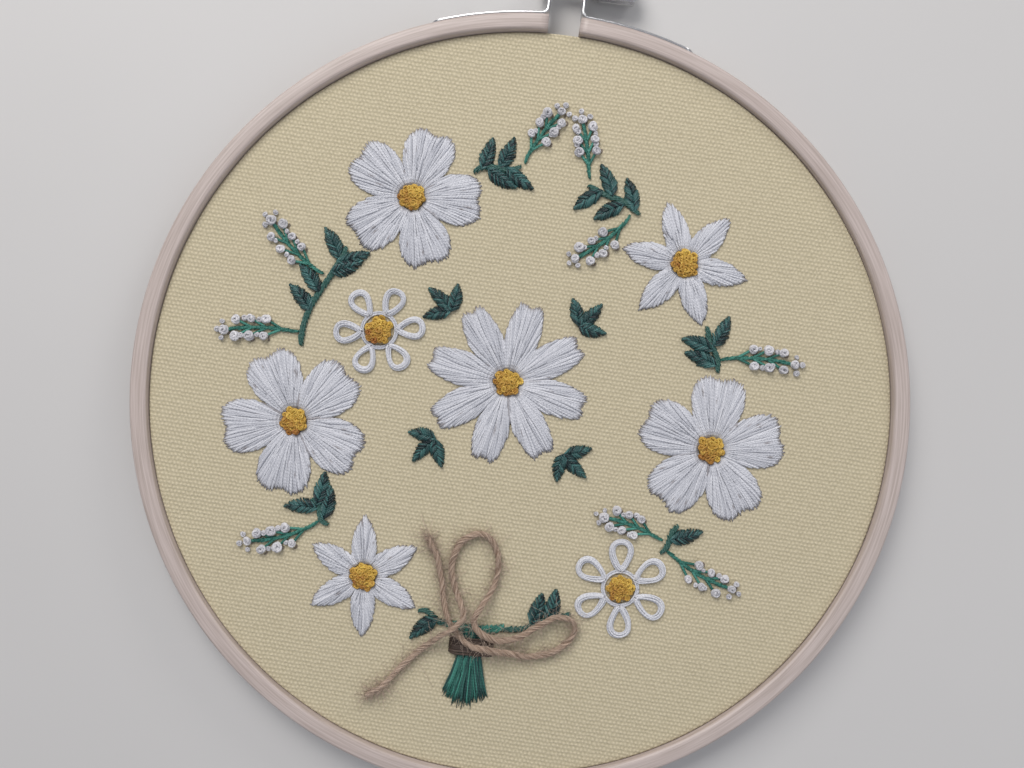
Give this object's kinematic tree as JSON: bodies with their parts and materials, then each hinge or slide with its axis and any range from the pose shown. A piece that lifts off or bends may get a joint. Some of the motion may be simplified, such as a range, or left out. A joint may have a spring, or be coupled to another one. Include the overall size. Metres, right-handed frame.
{
  "type": "floral embroidery on cloth stretched in a wooden hoop",
  "caption": "Round wooden embroidery hoop with steel screw clamp, holding taut straw-yellow cloth stitched with a wreath of white blossoms, green leaves and a twine bow; lies flat, face up.",
  "frame": {"origin": "On the resting surface, under the middle of the box around hoop and clamp together; the hoop's own centre is 7.5 mm behind it, towards -Y.", "axes": "+Z out of the stitched face, +Y from the middle of the hoop towards its clamp, +X to the right as the face is seen with the clamp at the top."},
  "size_m": [0.2096, 0.2246, 0.0143],
  "materials": {
    "hoop_wood": "pale sanded wood, unvarnished, grain along the ring",
    "ground_cloth": "straw-yellow plain-weave cotton canvas",
    "clamp_steel": "bright nickel-plated steel",
    "white_thread": "white stranded cotton with a soft sheen",
    "yellow_thread": "yellow and orange stranded cotton in knots",
    "green_thread": "emerald and dark green stranded cotton",
    "brown_thread": "brown stranded cotton, wrapped",
    "twine": "fuzzy pinkish brown jute twine"
  },
  "bodies": {
    "root": {"outer_ring": "hoop_wood", "inner_ring": "hoop_wood", "ground_cloth": "ground_cloth", "bracket_left": "clamp_steel", "bracket_right": "clamp_steel", "pin_left_1": "clamp_steel", "pin_left_2": "clamp_steel", "pin_right_1": "clamp_steel", "pin_right_2": "clamp_steel", "clamp_screw": "clamp_steel", "thumb_nut": "clamp_steel", "rose_left": "white_thread", "rose_top": "white_thread", "rose_right": "white_thread", "star_left": "white_thread", "star_right": "white_thread", "loop_left": "white_thread", "loop_right": "white_thread", "cosmos_middle": "white_thread", "heart_rose_left": "yellow_thread", "heart_rose_top": "yellow_thread", "heart_rose_right": "yellow_thread", "heart_star_left": "yellow_thread", "heart_star_right": "yellow_thread", "heart_loop_left": "yellow_thread", "heart_loop_right": "yellow_thread", "heart_cosmos_middle": "yellow_thread", "sprig_tie_left": "green_thread", "sprig_low_left": "green_thread", "sprig_mid_left": "green_thread", "sprig_top_left": "green_thread", "sprig_tie_right": "green_thread", "sprig_low_right": "green_thread", "sprig_mid_right": "green_thread", "sprig_top_right": "green_thread", "corner_leaves_1": "green_thread", "corner_leaves_2": "green_thread", "corner_leaves_3": "green_thread", "corner_leaves_4": "green_thread", "spray_low_left": "white_thread", "spray_mid_left": "white_thread", "spray_high_left": "white_thread", "spray_top_left": "white_thread", "spray_low_right": "white_thread", "spray_mid_right": "white_thread", "spray_high_right": "white_thread", "spray_in_low": "white_thread", "spray_in_high": "white_thread", "stem_ends": "green_thread", "tie_wraps": "brown_thread", "twine_tie": "twine"}
  },
  "joints": []
}
